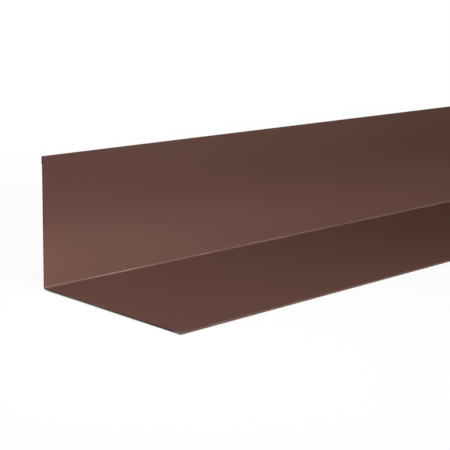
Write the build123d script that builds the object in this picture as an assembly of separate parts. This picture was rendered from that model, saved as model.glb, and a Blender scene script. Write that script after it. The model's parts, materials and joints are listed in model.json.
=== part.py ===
"""Wall abutment flashing: a stock length of coated sheet steel, folded from one strip.

An upstand lies against the wall and a wider leg lies on the roof covering. Both long edges
are hemmed to the hidden side, so that no bare or sharp edge faces the weather.

Millimetres. +X runs along the stock, +Y points at the wall, +Z is up. The origin is the
middle of the footprint, on the surface that the flashing stands on.
"""

import os
from math import radians, tan

from build123d import *

# Stock
LENGTH = 1000.0
SHEET = 0.5

# Section: each leg runs from the outside of the corner to the tip of its hem
WALL_LEG = 100.0
ROOF_LEG = 150.0
LEG_ANGLE = 90.0
CORNER_RADIUS = 1.0

# Hems: each runs from its rounded tip back to its cut edge, with a gap between its layers
WALL_HEM = 6.0
WALL_HEM_GAP = 0.15
ROOF_HEM = 6.0
ROOF_HEM_GAP = 0.3

HEM_TURN = 180.0


def tip_radius(gap):
    """Outside radius of a hem's rounded tip, for the gap left between its layers."""
    return SHEET + gap / 2


def folded_strip():
    """The strip from the roof hem's cut edge to the wall hem's, as runs of
    (flat, turn, radius): the flat comes first, then a bend of that radius on the painted face.

    A positive turn folds towards the hidden face, and a negative one away from it.
    """
    roof_tip = tip_radius(ROOF_HEM_GAP)
    wall_tip = tip_radius(WALL_HEM_GAP)
    corner_turn = 180.0 - LEG_ANGLE
    set_back = (CORNER_RADIUS + SHEET) * tan(radians(corner_turn / 2))
    return [
        (ROOF_HEM - roof_tip, HEM_TURN, roof_tip),
        (ROOF_LEG - roof_tip - set_back, -corner_turn, CORNER_RADIUS),
        (WALL_LEG - set_back - wall_tip, HEM_TURN, wall_tip),
        (WALL_HEM - wall_tip, 0.0, 0.0),
    ]


def face_line(depth):
    """One face of the strip as a chain of edges: depth 0 is painted, depth SHEET is hidden.

    The roof hem's lower layer is walked first, towards the weather, with the steel on the
    right of the walk, so the roof leg lies level whatever angle the wall leg stands at.
    """
    here, heading = Vector(0, depth), Vector(-1, 0)
    edges = []
    for flat, turn, radius in folded_strip():
        edges.append(Line(here, here + heading * flat))
        if turn:
            bend = radius - depth if turn > 0 else radius + depth
            edges.append(JernArc(edges[-1] @ 1, heading, bend, -turn))
        here, heading = edges[-1] @ 1, edges[-1] % 1
    return edges


def section():
    """The folded section: both faces of the strip, joined by its two cut edges."""
    painted, hidden = face_line(0.0), face_line(SHEET)
    roof_cut = Line(painted[0] @ 0, hidden[0] @ 0)
    wall_cut = Line(painted[-1] @ 1, hidden[-1] @ 1)
    return make_face([*painted, wall_cut, *hidden, roof_cut])


def flashing():
    """The section drawn out to the stock length and set down on the middle of its footprint."""
    drawn = extrude(Plane.YZ * section(), LENGTH)
    box = drawn.bounding_box()
    footprint = Vector(box.center().X, box.center().Y, box.min.Z)
    return Pos(-footprint) * drawn


os.makedirs("parts", exist_ok=True)
piece = flashing()
export_step(piece, "parts/flashing.step")
print("flashing", piece.bounding_box(), "volume", round(piece.volume, 1), "mm3")
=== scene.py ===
# %% [markdown]
# # A wall abutment flashing in the studio
#
# The object is one stock length of coated sheet steel. It is folded once, so that an upstand
# lies against a wall and a wider leg lies on the roof covering, and both long edges are hemmed
# to the hidden side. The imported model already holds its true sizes, so it is loaded first and
# everything else is worked out from it.

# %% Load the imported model
import json

import bpy
import numpy as np
from mathutils import Matrix, Vector


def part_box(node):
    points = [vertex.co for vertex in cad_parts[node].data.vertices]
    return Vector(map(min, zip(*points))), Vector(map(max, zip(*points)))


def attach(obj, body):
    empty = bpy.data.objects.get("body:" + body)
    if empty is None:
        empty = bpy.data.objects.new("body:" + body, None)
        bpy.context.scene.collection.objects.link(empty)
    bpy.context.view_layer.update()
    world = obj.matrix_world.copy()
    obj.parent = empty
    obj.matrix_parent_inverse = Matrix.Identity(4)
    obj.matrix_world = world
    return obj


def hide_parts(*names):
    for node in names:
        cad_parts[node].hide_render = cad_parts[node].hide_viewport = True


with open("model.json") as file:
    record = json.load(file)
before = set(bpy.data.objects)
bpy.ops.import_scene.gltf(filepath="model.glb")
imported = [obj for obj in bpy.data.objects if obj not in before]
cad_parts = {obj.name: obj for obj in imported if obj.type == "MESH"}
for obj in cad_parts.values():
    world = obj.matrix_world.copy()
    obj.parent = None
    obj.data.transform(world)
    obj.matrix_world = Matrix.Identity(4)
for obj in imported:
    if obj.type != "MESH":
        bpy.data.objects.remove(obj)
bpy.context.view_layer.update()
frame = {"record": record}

# %% [markdown]
# ## The sizes of the sheet
#
# Two kinds of size describe a folded sheet. The outer ones, how long, deep and high it is, are
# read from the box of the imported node. The folder's own ones are the sheet's thickness, the
# width of the hems and the radius of the corner. The space left inside each hem isn't
# measured again: it is what remains between the mounting faces once two sheets are taken off.

# %% Read the sizes
MM = 0.001
SHEET = 0.5 * MM
HEM = 6.0 * MM
CORNER_RADIUS = 1.0 * MM

low, high = (np.array(corner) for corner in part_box("flashing"))
mounts = {mount["name"]: np.array(mount["pos_m"]) for mount in frame["record"]["mounts"]}
upstand_face = mounts["cover_strip_face"][1]
leg_face = mounts["screw_face"][2]
wall_gap = high[1] - upstand_face - 2 * SHEET
roof_gap = leg_face - low[2] - 2 * SHEET
wall_tip = SHEET + wall_gap / 2
roof_tip = SHEET + roof_gap / 2
print("hem gaps in mm: wall", round(wall_gap / MM, 3), "roof", round(roof_gap / MM, 3))

# %% [markdown]
# ## The fold as a list of runs
#
# A folding machine never stretches the sheet, it only turns it. So the section is best told as
# a walk along the middle of the sheet's thickness: so far straight on, then a turn on a given
# radius, then straight on again. The walk starts at the cut edge of the roof hem, passes under
# the roof leg to the front edge, comes back over it, goes up the wall, and ends at the cut edge
# of the wall hem. A bend is walked in steps that are short enough to look round, and a leg in
# steps that are short enough to carry the shallow wave that it gets further on.

# %% List the runs
HALF_TURN = np.pi
QUARTER_TURN = np.pi / 2
HEM_STEPS = 4
TIP_STEPS = 14
ROOF_LEG_STEPS = 40
CORNER_STEPS = 12
UPSTAND_STEPS = 28

roof_bend = (SHEET + roof_gap) / 2
wall_bend = (SHEET + wall_gap) / 2
corner_bend = CORNER_RADIUS + SHEET / 2

# Each run: its length, the angle it turns through, and how many steps it is sampled in.
# Turning to the left is positive, and the painted face is always on the left.
RUNS = [
    (HEM - roof_tip, 0.0, HEM_STEPS),
    (roof_bend * HALF_TURN, -HALF_TURN, TIP_STEPS),
    (upstand_face - CORNER_RADIUS - low[1] - roof_tip, 0.0, ROOF_LEG_STEPS),
    (corner_bend * QUARTER_TURN, QUARTER_TURN, CORNER_STEPS),
    (high[2] - wall_tip - leg_face - CORNER_RADIUS, 0.0, UPSTAND_STEPS),
    (wall_bend * HALF_TURN, -HALF_TURN, TIP_STEPS),
    (HEM - wall_tip, 0.0, HEM_STEPS),
]
ends_of_runs = np.cumsum([length for length, _, _ in RUNS])
print("the walk reaches these distances in mm:", (ends_of_runs / MM).round(1))

# %% [markdown]
# ## One formula for straight runs and bends
#
# After a distance s on a run that turns k radians for each metre, the chord from the run's
# start is s sin(h) / h long, with h = k s / 2, and it points h beyond the first heading. With
# k = 0 that is simply s, straight on, so the same lines of code walk along every run.

# %% Walk along the section


def walk(runs, start, heading):
    """Points (y, z), headings and distances along a chain of runs.

    Within a run the chord is s sin(h) / h long at the angle heading + h, with h = k s / 2.
    Headings are measured from +Y towards +Z.
    """
    here, travelled = np.array(start), 0.0
    points, headings, distances = [], [], []
    for length, turn, steps in runs:
        rate = turn / length
        s = np.linspace(0.0, length, steps + 1)
        half = rate * s / 2
        chord = s * np.sinc(half / np.pi)
        way = np.stack([np.cos(heading + half), np.sin(heading + half)], axis=1)
        run_points = here + chord[:, None] * way

        # A run starts at the last point of the run before, which is kept only once.
        first = 0 if not points else 1
        points.append(run_points[first:])
        headings.append((heading + rate * s)[first:])
        distances.append((travelled + s)[first:])
        here, heading, travelled = run_points[-1], heading + turn, travelled + length
    return tuple(np.concatenate(part) for part in (points, headings, distances))


start = (low[1] + HEM, low[2] + SHEET / 2)
middle, heading, around = walk(RUNS, start, HALF_TURN)
print("the strip is", round(around[-1] / MM, 1), "mm wide before folding, in", len(around), "points")

# %% [markdown]
# ## A sheet that isn't quite flat
#
# The two legs are not perfectly flat: thin sheet keeps a long, shallow wave from the coil, here
# of up to 0.2 mm, which dies out at every bend because a fold stiffens it. Without it the light
# would lie on them too evenly. A few sines of unlike lengths give such a wave, and an arch across
# each leg brings it down to nothing at the bends. The same arch sets, further on, where the painted
# highlight of a bend is strongest.

# %% Lay rings along the stock and wave the legs
WAVE_HEIGHT = 0.22 * MM
WAVE_LENGTHS = (0.43, 0.26, 0.17)
WAVE_SLANT = 1.5
WAVE_SEED = 7
RING_SPACING = 8.0 * MM

# The lip and the painted shade beside the cut end within this distance of the cut, so a few more
# rings lie there: the coat's rounded lip is 0.09 mm, and the line of painted shade is half a millimetre.
LIP = 0.09 * MM
CUT_SHADE_WIDTH = 0.5 * MM
LIP_RINGS = LIP * np.array([0.0, 0.08, 0.3, 0.6, 1.0])
CUT_SHADE_RINGS = CUT_SHADE_WIDTH * np.array([0.5, 1.0])

random = np.random.default_rng(WAVE_SEED)
tip_begin, tip_end, leg_end, corner_end, upstand_end, _, _ = ends_of_runs


def arch(s, begin, end):
    """sin(pi t), with t running from 0 to 1 between begin and end, and 0 outside them."""
    return np.sin(np.pi * np.clip((s - begin) / (end - begin), 0.0, 1.0))


def wave(x, s, flats):
    """Height of the coil's wave: a sum of sines along x, each slanted a little over s, times
    the square of an arch across each flat."""
    window = sum(arch(s, begin, end) ** 2 for begin, end in flats)
    total = np.zeros((len(x), len(s)))
    for length in WAVE_LENGTHS:
        phase, slant = random.uniform(0, 2 * np.pi), random.uniform(-WAVE_SLANT, WAVE_SLANT)
        total += np.sin(2 * np.pi * (x[:, None] + slant * s[None, :]) / length + phase)
    return WAVE_HEIGHT * total * window / len(WAVE_LENGTHS)


spaces = round((high[0] - low[0]) / RING_SPACING)
even_rings = np.linspace(low[0], high[0], spaces + 1)[1:-1]
from_cut = np.concatenate([LIP_RINGS, CUT_SHADE_RINGS])
along = np.concatenate([low[0] + from_cut, even_rings, high[0] - from_cut[::-1]])
uneven = wave(along, around, [(tip_end, leg_end), (corner_end, upstand_end)])
print("rings along the stock:", len(along), "wave in mm:", round(np.abs(uneven).max() / MM, 2))

# %% [markdown]
# ## The two faces of the sheet
#
# The visible surface is a function of two parameters: the distance around the strip, and the
# distance along the stock. At each point the two faces lie half a sheet to the left and to the
# right of the walk. The shear that cuts the stock to length pulls the painted skin down a
# little as it enters, so that the end has a rounded lip.
#
# The section's outline is a loop: the painted face forwards, then the hidden face backwards.

# %% Work out the corners of the skin


def lip(x):
    """How far the painted face drops at a sheared end: a quarter circle of radius LIP."""
    from_end = np.clip((high[0] - np.abs(x)) / LIP, 0.0, 1.0)
    return LIP * (1 - np.sqrt(1 - (1 - from_end) ** 2))


def sheet_surface(x, points, headings, relief):
    """Corners of the skin, as an array [ring, place in the loop, (x, y, z)].

    painted = middle + left (SHEET / 2 + relief - lip), hidden = middle - left (SHEET / 2 - relief),
    with left = (-sin heading, cos heading).
    """
    left = np.stack([-np.sin(headings), np.cos(headings)], axis=1)
    painted_out = SHEET / 2 + relief - lip(x)[:, None]
    hidden_out = -SHEET / 2 + relief
    painted = points[None] + left[None] * painted_out[..., None]
    hidden = points[None] + left[None] * hidden_out[..., None]
    loop = np.concatenate([painted, hidden[:, ::-1]], axis=1)
    x_everywhere = np.broadcast_to(x[:, None, None], (*loop.shape[:2], 1))
    return np.concatenate([x_everywhere, loop], axis=2)


corners = sheet_surface(along, middle, heading, uneven)
print("corners (rings, places in the loop, axes):", corners.shape)

# %% [markdown]
# ## One closed skin
#
# Carried along the stock, the loop closes everything but the two sheared ends, and each of
# those is closed by a ladder of small faces between the two layers of the loop. Each face lists
# its corners anticlockwise as seen from outside, which is what makes it point outwards. It also
# gets the number of its finish, because the coat, the backing coat and bare steel meet here.

# %% Join the corners into faces
PAINTED, HIDDEN, CUT = 0, 1, 2


def quads_between(numbers):
    """Quads between the neighbours in a grid of corner numbers: each takes the corner at (i, j),
    then those at (i + 1, j), (i + 1, j + 1) and (i, j + 1)."""
    quads = [numbers[:-1, :-1], numbers[1:, :-1], numbers[1:, 1:], numbers[:-1, 1:]]
    return np.stack(quads, axis=-1).reshape(-1, 4)


def skin_faces(ring_count, station_count):
    """Quads of the skin and their finish, for n stations to a face. Ring i holds the numbers
    from 2n i to 2n (i + 1) - 1, and its last place joins its first at the roof hem's cut edge."""
    loop = 2 * station_count
    rings = np.arange(ring_count * loop).reshape(ring_count, loop)
    tube = quads_between(np.concatenate([rings, rings[:, :1]], axis=1))
    ring_finish = np.repeat([PAINTED, HIDDEN], station_count)
    ring_finish[[station_count - 1, loop - 1]] = CUT
    k = np.arange(station_count - 1)
    near_end = np.stack([k, k + 1, loop - 2 - k, loop - 1 - k], axis=-1)
    far_end = near_end[:, ::-1] + (ring_count - 1) * loop
    quads = np.concatenate([tube, near_end, far_end])
    finish = np.concatenate([np.tile(ring_finish, ring_count - 1), np.full(2 * len(k), CUT)])
    return quads, finish


quads, finish = skin_faces(len(along), len(around))
print("quads:", len(quads), "of which in the cut edges:", int((finish == CUT).sum()))

# %% [markdown]
# ## Painted highlight, painted shade and the sheared coat
#
# Three marks are kept, each as a number for every corner of the mesh. The first is a painted
# highlight on the painted face. It is nothing on the flats, most in the middle of the corner, and
# somewhat less on the upper half of the front hem's tip, so that corner and tip show as light
# lines. The second tells how far the shear dragged the soft coat down over the cut edge. A single
# sheet gives way and its edge is smeared with coat, painted almost black as painted shade, but the
# stiff front hem breaks clean, so bright steel shows there. The third is painted shade: a dark line
# half a millimetre wide beside the cut, and a thin dark line along the lower half of the front
# hem's tip, under the light line of the tip.

# %% Work out the marks
# How pale the painted highlight is on the tip against the corner, and how dark the painted shade is.
TIP_HIGHLIGHT = 0.6
TIP_SHADE_SHARE = 0.8

# How far up the tip the painted shade reaches, and over how much of the tip it fades. The tip is
# walked from below, so 0 is its lower end and 1 its upper end.
TIP_SHADE_TO = 0.55
TIP_SHADE_FADE = 0.12

# The shade painted beside the cut stays dark almost to its end: it fades as this power of what is left.
CUT_SHADE_FADE = 0.5

up_the_tip = (around - tip_begin) / (tip_end - tip_begin)
# Painted highlight: less on the upper half of the front tip, most in the middle of the corner.
tip_highlight = TIP_HIGHLIGHT * arch(up_the_tip, TIP_SHADE_TO - TIP_SHADE_FADE, 1.0)
highlight_around = np.maximum(arch(around, leg_end, corner_end), tip_highlight)
lower_tip = np.clip((TIP_SHADE_TO - up_the_tip) / TIP_SHADE_FADE, 0.0, 1.0) * (up_the_tip > 0)
# Painted shade along the lower half of the front tip.
tip_shade_around = TIP_SHADE_SHARE * lower_tip
drawn_around = (around > tip_end + HEM).astype(float)
# Painted shade in a line beside the cut ends.
cut_shade_along = np.clip(1 - (high[0] - np.abs(along)) / CUT_SHADE_WIDTH, 0.0, 1.0) ** CUT_SHADE_FADE
print("pressed points:", int((highlight_around > 0.01).sum()),
      "clean points:", int((drawn_around == 0).sum()),
      "bruised rings:", int((cut_shade_along > 0.0).sum()),
      "rubbed points:", int((tip_shade_around > 0.0).sum()))

# %% [markdown]
# ## From one ring to the whole skin
#
# A mark that depends on the place around the strip is the same in every ring, and one that
# depends on the place along the stock is the same all round its ring. Both are spread out to one
# number for every corner, because that is how a mesh stores an attribute.

# %% Spread the marks over the skin


def round_the_loop(values):
    """One number for every corner: forwards along the painted face, backwards along the hidden."""
    return np.tile(np.concatenate([values, values[::-1]]), len(along))


def along_the_stock(values):
    """One number for every corner: the ring's own, all the way round it."""
    return np.repeat(values, 2 * len(around))


# The stiff hem breaks clean, so the painted shade beside the cut lies only where the coat was drawn.
drawn_corners = round_the_loop(drawn_around)
cut_shade_corners = along_the_stock(cut_shade_along) * drawn_corners
marks_and_painted_light = {
    "pressed": round_the_loop(highlight_around),
    "drawn": drawn_corners,
    "soiled": np.maximum(cut_shade_corners, round_the_loop(tip_shade_around)),
}
print("mean of each mark:", {name: round(float(values.mean()), 3) for name, values in marks_and_painted_light.items()})

# %% [markdown]
# ## Colours
#
# A colour on a screen is written in sRGB, but light adds up in linear values, so each colour is
# kept as the hex value that one would pick by eye and turned to linear once, here. Each node of
# a material is added by one small function, which sets its sockets and makes its links.

# %% Colour and node helpers

# A Mix node set to colours takes them in its sockets 6 and 7, and gives the mixed one in its third
# output, which has the number 2.
FIRST_COLOUR, SECOND_COLOUR, MIXED_COLOUR = 6, 7, 2


def linear(hex_colour):
    """Linear red, green, blue and alpha of an sRGB hex value such as "#5B433A".

    A share c of full brightness stands for c / 12.92 of the light close to black, and for
    ((c + 0.055) / 1.055) ^ 2.4 above that.
    """
    srgb = np.array([int(hex_colour[k:k + 2], 16) for k in (1, 3, 5)]) / 255
    values = np.where(srgb <= 0.04045, srgb / 12.92, ((srgb + 0.055) / 1.055) ** 2.4)
    return (*values.tolist(), 1.0)


def add(tree, kind, settings=None, links=None, **values):
    """Adds a node. settings are its own properties, links its inputs by name or number, and values
    its constant sockets by name."""
    node = tree.nodes.new(kind)
    for name, value in (settings or {}).items():
        setattr(node, name, value)
    for name, value in values.items():
        node.inputs[name.replace("_", " ")].default_value = value
    for name, source in (links or {}).items():
        tree.links.new(source, node.inputs[name])
    return node


def material(name):
    """An empty node material: its tree, and the surface socket of its output."""
    made = bpy.data.materials.new(name)
    made.use_nodes = True
    made.node_tree.nodes.clear()
    output = made.node_tree.nodes.new("ShaderNodeOutputMaterial")
    return made, made.node_tree, output.inputs["Surface"]


print("half of full brightness on a screen is", round(linear("#808080")[0], 3), "of the light")

# %% [markdown]
# ## The coat: satin polyester, baked on the coil
#
# The brown skin is a polyester coat of about 25 micrometres, rolled on and baked while the steel
# was still a flat coil. It gives the eye an even, fairly dark chocolate brown. The roller leaves
# faint bands along the coil, where the film is a trace thicker and so a trace darker: noise that
# is stretched along the stock gives such bands, with no two alike. Over them lie painted light and
# shade. A painted highlight makes the coat paler along the bends, and painted shade darkens it
# beside the cuts and under the front hem's tip.

# %% The coat's brown
BAND = 14.0 * MM
BAND_STRETCH = 0.03
BAND_BROWNS = ("#583C34", "#5C4038")
# Painted shade: a near-black brown beside the cuts, under the front tip and on the smeared cut edges.
SHADE_BROWN = "#1E1613"

# Where the painted highlight is strongest, the coat goes this share of the way to the paler brown.
HIGHLIGHT_BROWN = "#A08A80"
HIGHLIGHT_SHARE = 0.3

coat, tree, surface = material("Polyester coat, satin brown, baked on")
place = add(tree, "ShaderNodeTexCoord").outputs["Object"]
along_coil = add(tree, "ShaderNodeMapping", links={"Vector": place}, Scale=(BAND_STRETCH, 1.0, 1.0))
bands = add(tree, "ShaderNodeTexNoise", links={"Vector": along_coil.outputs["Vector"]},
            Scale=1 / BAND, Detail=2.0, Roughness=0.5)
film = add(tree, "ShaderNodeMix", {"data_type": "RGBA"}, {"Factor": bands.outputs["Fac"]})
film.inputs[FIRST_COLOUR].default_value = linear(BAND_BROWNS[0])
film.inputs[SECOND_COLOUR].default_value = linear(BAND_BROWNS[1])

# Painted highlight: the coat is made paler along the corner and the upper half of the front tip.
pressed = add(tree, "ShaderNodeAttribute", {"attribute_name": "pressed"})
paler = add(tree, "ShaderNodeMath", {"operation": "MULTIPLY"}, {0: pressed.outputs["Fac"]})
paler.inputs[1].default_value = HIGHLIGHT_SHARE
brown = add(tree, "ShaderNodeMix", {"data_type": "RGBA"},
            {"Factor": paler.outputs[0], FIRST_COLOUR: film.outputs[MIXED_COLOUR]})
brown.inputs[SECOND_COLOUR].default_value = linear(HIGHLIGHT_BROWN)
# Painted shade: the coat is made almost black beside the cuts and on the lower half of the front tip.
soiled = add(tree, "ShaderNodeAttribute", {"attribute_name": "soiled"})
coat_with_painted_shade = add(tree, "ShaderNodeMix", {"data_type": "RGBA"},
             {"Factor": soiled.outputs["Fac"], FIRST_COLOUR: brown.outputs[MIXED_COLOUR]})
coat_with_painted_shade.inputs[SECOND_COLOUR].default_value = linear(SHADE_BROWN)
print(coat.name + ": bands about", round(BAND / BAND_STRETCH, 2), "m long")

# %% [markdown]
# ## The coat's gloss and its orange peel
#
# The coat is satin, so a lamp gives a wide soft glow on it and no mirror image, and the wet film
# has dried with a very fine orange peel, in patches of about a millimetre and a half. Relief that
# fine is a bump and not a shape. A polyester film has an IOR of about 1.5, and a satin one a
# roughness of about 0.4, but its matting grains break the surface up and take the strength out
# of what it mirrors. So the values matched to the photograph are a lower IOR and a higher
# roughness, which also keep the white paper from greying the upstand.

# %% The coat's gloss
PEEL = 1.5 * MM
PEEL_DEPTH = 0.0025 * MM
COAT_IOR = 1.25
COAT_ROUGHNESS = 0.6

peel = add(tree, "ShaderNodeTexNoise", links={"Vector": place}, Scale=1 / PEEL, Detail=1.0)
peel_bump = add(tree, "ShaderNodeBump", links={"Height": peel.outputs["Fac"]}, Distance=PEEL_DEPTH)
shader = add(tree, "ShaderNodeBsdfPrincipled",
             links={"Base Color": coat_with_painted_shade.outputs[MIXED_COLOUR], "Normal": peel_bump.outputs["Normal"]},
             Roughness=COAT_ROUGHNESS, IOR=COAT_IOR)
tree.links.new(shader.outputs["BSDF"], surface)
print(coat.name + ":", len(tree.nodes), "nodes")

# %% [markdown]
# ## The backing coat: thin grey epoxy
#
# The hidden side gets a single thin coat that only has to keep the zinc from staining in the
# stack. It is a light warm grey, almost matt, and thin enough that the roller's ribs show along
# the coil as slightly lighter and darker lines.

# %% The backing coat
RIB = 2.2 * MM
RIB_STRETCH = 0.02
RIB_GREYS = ("#A5A6A2", "#BCBDB9")

backing, tree, surface = material("Epoxy backing coat, matt grey, rolled on")
place = add(tree, "ShaderNodeTexCoord").outputs["Object"]
along_coil = add(tree, "ShaderNodeMapping", links={"Vector": place}, Scale=(RIB_STRETCH, 1.0, 1.0))
ribs = add(tree, "ShaderNodeTexNoise", links={"Vector": along_coil.outputs["Vector"]},
           Scale=1 / RIB, Detail=3.0, Roughness=0.6)
grey = add(tree, "ShaderNodeMix", {"data_type": "RGBA"}, {"Factor": ribs.outputs["Fac"]})
grey.inputs[FIRST_COLOUR].default_value = linear(RIB_GREYS[0])
grey.inputs[SECOND_COLOUR].default_value = linear(RIB_GREYS[1])
shader = add(tree, "ShaderNodeBsdfPrincipled", links={"Base Color": grey.outputs[MIXED_COLOUR]},
             Roughness=0.6, IOR=1.5)
tree.links.new(shader.outputs["BSDF"], surface)
print(backing.name + ":", len(tree.nodes), "nodes, ribs about", round(RIB / RIB_STRETCH, 2), "m long")

# %% [markdown]
# ## The sheared edge
#
# The cut edges show the galvanised steel itself, a metal of a middling grey, dull and grained
# from tearing. The grain is a tenth of a millimetre or so, and shows only from close by. Over
# most of their length the shear smeared the brown coat across the edge. That coat is painted
# almost black, as painted shade, so what is left for the eye is a thin dark line. Both looks are
# one material: the mark "drawn" mixes a dark, matt, non-metallic brown over the steel.

# %% Sheared steel
GRAIN = 0.12 * MM
GRAIN_GREYS = ("#7C8284", "#A9AFB0")

steel, tree, surface = material("Galvanised steel, sheared edge with drawn coat")
place = add(tree, "ShaderNodeTexCoord").outputs["Object"]
grain = add(tree, "ShaderNodeTexNoise", links={"Vector": place}, Scale=1 / GRAIN, Detail=2.0)
grey = add(tree, "ShaderNodeMix", {"data_type": "RGBA"}, {"Factor": grain.outputs["Fac"]})
grey.inputs[FIRST_COLOUR].default_value = linear(GRAIN_GREYS[0])
grey.inputs[SECOND_COLOUR].default_value = linear(GRAIN_GREYS[1])
# Where the coat was drawn over the edge, it is painted almost black as painted shade.
drawn = add(tree, "ShaderNodeAttribute", {"attribute_name": "drawn"})
edge_colour = add(tree, "ShaderNodeMix", {"data_type": "RGBA"},
                  {"Factor": drawn.outputs["Fac"], FIRST_COLOUR: grey.outputs[MIXED_COLOUR]})
edge_colour.inputs[SECOND_COLOUR].default_value = linear(SHADE_BROWN)
metal_share = add(tree, "ShaderNodeMath", {"operation": "SUBTRACT"}, {1: drawn.outputs["Fac"]})
metal_share.inputs[0].default_value = 1.0
shader = add(tree, "ShaderNodeBsdfPrincipled",
             links={"Base Color": edge_colour.outputs[MIXED_COLOUR], "Metallic": metal_share.outputs[0]},
             Roughness=0.55)
tree.links.new(shader.outputs["BSDF"], surface)
print(steel.name + ":", len(tree.nodes), "nodes")

# %% [markdown]
# ## The sheet takes its node's place
#
# The imported node is the same sheet with plain flats. The dressed sheet stands for it and moves
# with the same body. Its arrays go into the mesh with from_pydata and foreach_set, in one call
# each, which is far quicker than corner by corner.
# Smooth shading runs through the bends and over the rounded lip, and breaks at the cuts' other
# edges, which are square.

# %% Place the sheet
SHARP_TURN = np.radians(35)


def mesh_piece(name, corners, quads, finish, materials):
    """A mesh object at the origin, from arrays of corners, quads and finish numbers."""
    mesh = bpy.data.meshes.new(name)
    mesh.from_pydata(corners.reshape(-1, 3).tolist(), [], quads.tolist())
    for finish_material in materials:
        mesh.materials.append(finish_material)
    mesh.polygons.foreach_set("material_index", finish.astype(np.int32))
    mesh.polygons.foreach_set("use_smooth", np.ones(len(quads), bool))
    mesh.update()
    piece = bpy.data.objects.new(name, mesh)
    bpy.context.scene.collection.objects.link(piece)
    return piece


def keep_marks(piece, marks):
    """Stores each array of numbers, one for every corner, as an attribute of the mesh."""
    for name, values in marks.items():
        attribute = piece.data.attributes.new(name, "FLOAT", "POINT")
        attribute.data.foreach_set("value", values.astype(np.float32))


flashing = mesh_piece("folded_sheet", corners, quads, finish, [coat, backing, steel])
flashing.data.set_sharp_from_angle(angle=SHARP_TURN)
keep_marks(flashing, marks_and_painted_light)
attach(flashing, "root")
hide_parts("flashing")
print("sheet faces:", len(flashing.data.polygons))

# %% [markdown]
# ## Floor and backdrop
#
# The photograph shows the flashing on plain white. A studio gets that from paper that lies on the
# floor and curves up at a distance, so that no line shows where floor and wall meet. Here the
# paper curves up all round, like a very shallow dish, because the object is looked at from every
# side. Its rim stays low, and above it the studio is dim: the roof leg faces up, and a white
# ceiling would lay a grey veil on its brown coat.
#
# The dish is one square grid of faces. Its lines crowd together in the middle, where the object
# stands, and a few more follow the edges of the stock, because something changes sharply there.

# %% The paper dish
DISH_FLAT = 3.0
DISH_HALF = 7.0
DISH_RISE = 1.8
DISH_STEPS = 120
DISH_CROWDING = 1.7
GROUND_BELOW = 0.02 * MM
COVER_FADE = 0.5 * MM


def dish(x, y):
    """Height of the paper: GROUND_BELOW under the floor out to the radius DISH_FLAT, and from
    there DISH_RISE t^2 higher, where t reaches 1 at the radius DISH_HALF."""
    beyond = np.clip((np.hypot(x, y) - DISH_FLAT) / (DISH_HALF - DISH_FLAT), 0.0, None)
    return DISH_RISE * beyond ** 2 - GROUND_BELOW


def grid_lines(edge):
    """Places of the grid's lines: u |u|^(DISH_CROWDING - 1) from rim to rim, with two more at each
    edge of the stock, on it and COVER_FADE inside it."""
    even = np.linspace(-1.0, 1.0, DISH_STEPS + 1)
    crowded = DISH_HALF * even * np.abs(even) ** (DISH_CROWDING - 1)
    at_edges = [-edge, COVER_FADE - edge, edge - COVER_FADE, edge]
    return np.unique(np.concatenate([crowded, at_edges]))


dish_x, dish_y = np.meshgrid(grid_lines(high[0]), grid_lines(high[1]), indexing="ij")
dish_corners = np.stack([dish_x, dish_y, dish(dish_x, dish_y)], axis=-1)
dish_quads = quads_between(np.arange(dish_x.size).reshape(dish_x.shape))
print("paper quads:", len(dish_quads))

# %% [markdown]
# ## How much of the paper is plain white
#
# Paper that is lit by lamps is never quite white, and it darkens away from them. So its look is
# mixed from plain white and its own shading. Near the stock it keeps a part of its shading, so
# the object's shadow is on it, and farther out, where no lamp reaches, that part fades away.
# Under the stock it keeps all of it: the roof leg stands clear of the floor by the thickness of
# its hem, and that gap has to look dark.

# %% The share of plain white
NEAR_GLOW = 0.88
FADE_FROM, FADE_TO = 0.1, 0.8


def paper_glow(x, y):
    """Share of the paper's look that is plain white: NEAR_GLOW as far as FADE_FROM from the middle
    line of the stock, then rising as 3 t^2 - 2 t^3 to 1 at FADE_TO. Under the stock it is 0, from
    COVER_FADE inside its outline."""
    beyond_end = np.clip(np.abs(x) - high[0], 0.0, None)
    t = np.clip((np.hypot(beyond_end, y) - FADE_FROM) / (FADE_TO - FADE_FROM), 0.0, 1.0)
    inside = np.minimum(high[0] - np.abs(x), high[1] - np.abs(y))
    uncovered = 1 - np.clip(inside / COVER_FADE, 0.0, 1.0)
    return (NEAR_GLOW + (1 - NEAR_GLOW) * t ** 2 * (3 - 2 * t)) * uncovered


white_parts = paper_glow(dish_x, dish_y).ravel()
print("plain white share of the paper:", white_parts.min(), "under the stock,", white_parts.max(), "far out")

# %% [markdown]
# ## Matt white paper
#
# The paper is uncoated and quite matt, so it gives the eye an even tone without any gloss. The
# plain white is mixed in with Light Path, and only for rays that look at the paper, directly, in
# a reflection or through glass. To all other light it stays an ordinary pale paper. So it looks
# white without stronger lamps, and doesn't light the object as a glowing floor would.

# %% The paper
PAPER_WHITE = "#E9E9E9"
FULL_WHITE = (1.0, 1.0, 1.0, 1.0)


def seen_directly(tree):
    """1 for rays that look at a surface, directly, in a reflection or through glass, else 0."""
    ray = add(tree, "ShaderNodeLightPath")
    looks = ray.outputs["Is Camera Ray"]
    for kind in ("Is Glossy Ray", "Is Transmission Ray"):
        either = add(tree, "ShaderNodeMath", {"operation": "MAXIMUM"}, {0: looks, 1: ray.outputs[kind]})
        looks = either.outputs[0]
    return looks


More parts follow.
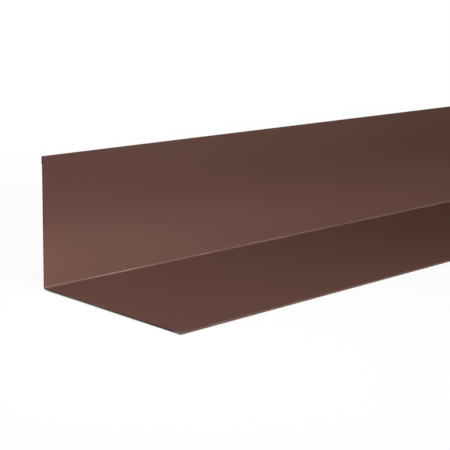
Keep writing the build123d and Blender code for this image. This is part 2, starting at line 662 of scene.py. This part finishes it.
paper, tree, surface = material("Matt white paper")
matt = add(tree, "ShaderNodeBsdfDiffuse", Color=linear(PAPER_WHITE))
glow = add(tree, "ShaderNodeEmission", Color=FULL_WHITE, Strength=1.0)
white_part = add(tree, "ShaderNodeAttribute", {"attribute_name": "white_part"})
white_share = add(tree, "ShaderNodeMath", {"operation": "MULTIPLY"},
                  {0: seen_directly(tree), 1: white_part.outputs["Fac"]})
mixed = add(tree, "ShaderNodeMixShader",
            links={0: white_share.outputs[0], 1: matt.outputs[0], 2: glow.outputs[0]})
tree.links.new(mixed.outputs[0], surface)

backdrop = mesh_piece("paper_dish", dish_corners, dish_quads, np.zeros(len(dish_quads)), [paper])
keep_marks(backdrop, {"white_part": white_parts})
print(paper.name + ":", len(tree.nodes), "nodes")

# %% [markdown]
# ## Camera
#
# The lines of the photograph were traced back to a camera that stands low in front of the left
# end and looks along the stock: it is turned 45 degrees from the wall, tipped 12 degrees down,
# and rolled by one degree. Its lens is a short telephoto, so the far end shrinks only a little.

# %% The camera
CAMERA_AT = (-1.0286, -0.6420, 0.2436)
CAMERA_YAW = np.radians(45.08)
CAMERA_PITCH = np.radians(12.28)
CAMERA_ROLL = np.radians(-1.02)
LENS = 97.9
SENSOR = 36.0
NEAREST, FARTHEST = 0.01, 50.0

forward = Vector((np.sin(CAMERA_YAW) * np.cos(CAMERA_PITCH),
                  np.cos(CAMERA_YAW) * np.cos(CAMERA_PITCH),
                  -np.sin(CAMERA_PITCH)))
level = Vector((np.cos(CAMERA_YAW), -np.sin(CAMERA_YAW), 0.0))
right = Matrix.Rotation(CAMERA_ROLL, 3, forward) @ level
up = right.cross(forward)
view = bpy.data.cameras.new("camera")
view.lens = LENS
view.sensor_width = SENSOR
view.clip_start = NEAREST
view.clip_end = FARTHEST
camera = bpy.data.objects.new("camera", view)
turned = Matrix((right, up, -forward)).transposed().to_4x4()
camera.matrix_world = Matrix.Translation(CAMERA_AT) @ turned
bpy.context.scene.collection.objects.link(camera)
bpy.context.scene.camera = camera
print("camera looks along", [round(part, 3) for part in forward])

# %% [markdown]
# ## Light
#
# Three things in the photograph say where the lamps stood. Both round bends, the corner and the
# tip of the front hem, carry a white line that fades to the right: a bend mirrors what lies
# above it and away to the right, so one softbox hangs there. The roof leg is lighter at its left
# end, so a second softbox hangs close over that end, and a third, in front of the middle, lights
# the whole of the upstand. And the upstand is lightest along its foot and at its left end,
# which no lamp from above can do. That takes two lamps almost on the floor, with grids in front
# of them, whose light thins out with height: a long thin strip in front, and a small box that
# looks in from beyond the left end. Two softboxes stand behind: a high one that lights the leg
# over the top of the upstand, and a low one that lights the grey back alone.
#
# A gridded lamp of spread a gives, at a distance d, light that falls evenly to nothing at the
# height d tan(a / 2). With d = 0.5 m and a = 14 degrees that is 61 mm, over half of the upstand.

# %% A softbox
NO_GRID = 180.0
STRIP_SPREAD = 14.0
STRIP_DISTANCE = 0.5


def softbox(name, at, aim, size, power, spread=NO_GRID):
    """A rectangular lamp at a place, facing another, with its power in watts and the angle in
    degrees that its grid lets through."""
    lamp = bpy.data.lights.new(name, "AREA")
    lamp.shape = "RECTANGLE"
    lamp.size, lamp.size_y = size
    lamp.energy = power
    lamp.spread = np.radians(spread)
    made = bpy.data.objects.new(name, lamp)
    made.location = at
    made.rotation_euler = (Vector(aim) - Vector(at)).to_track_quat("-Z", "Y").to_euler()
    made.visible_camera = False
    bpy.context.scene.collection.objects.link(made)
    return made


reach = STRIP_DISTANCE * np.tan(np.radians(STRIP_SPREAD / 2))
print("the light of the strip in front thins out to nothing", round(reach / MM), "mm above it")

# %% [markdown]
# ## Where the lamps hang
#
# Every lamp is placed in metres from the middle of the stock. The powers were found by rendering
# each lamp alone: their pictures add up, so the share of each one that comes closest to the
# photograph can be worked out. What is above the rim of the paper gives hardly any light.

# %% Hang the lamps

# The high softbox hangs where the left part of the corner mirrors it into the camera.
BEND = np.array([-0.4, upstand_face, leg_face])
HIGH_WAY = np.array([0.643, -0.324, 0.694])
HIGH_DISTANCE = 1.2

STRIP_MIDDLE = -0.1
STRIP_HEIGHT = 0.007
BOX_HEIGHT = 0.012
SURROUND = 0.02

lamps = [
    softbox("high_softbox", at=BEND + HIGH_DISTANCE * HIGH_WAY, aim=BEND, size=(0.25, 0.15), power=1.02),
    softbox("left_softbox", at=(-0.6, -0.1, 0.45), aim=(-0.35, 0.0, 0.03), size=(0.3, 0.3), power=2.19),
    softbox("front_softbox", at=(-0.2, -0.9, 0.6), aim=(0.1, 0.07, 0.09), size=(0.4, 0.4), power=5.45),
    softbox("back_softbox", at=(-0.5, 0.7, 0.7), aim=(-0.35, 0.0, 0.0), size=(0.6, 0.6), power=0.8),
    softbox("low_back_softbox", at=(0.0, 1.3, 0.32), aim=(0.0, 0.0, 0.05), size=(1.2, 0.3), power=12.0),
    softbox("foot_strip", at=(STRIP_MIDDLE, upstand_face - STRIP_DISTANCE, STRIP_HEIGHT),
            aim=(STRIP_MIDDLE, upstand_face, STRIP_HEIGHT), size=(1.4, 0.01), power=0.12,
            spread=STRIP_SPREAD),
    softbox("foot_box", at=(-0.95, -0.04, BOX_HEIGHT), aim=(-0.3, upstand_face, BOX_HEIGHT),
            size=(0.06, 0.02), power=0.09, spread=20.0),
]
print("lamps in watts:", {lamp.name: round(lamp.data.energy, 2) for lamp in lamps})

# The dim room gives a little light from everywhere, and Standard shows colours as they are.
world = bpy.data.worlds.new("dim studio")
world.use_nodes = True
surroundings = world.node_tree.nodes["Background"]
surroundings.inputs["Color"].default_value = FULL_WHITE
surroundings.inputs["Strength"].default_value = SURROUND
bpy.context.scene.world = world
bpy.context.scene.view_settings.view_transform = "Standard"
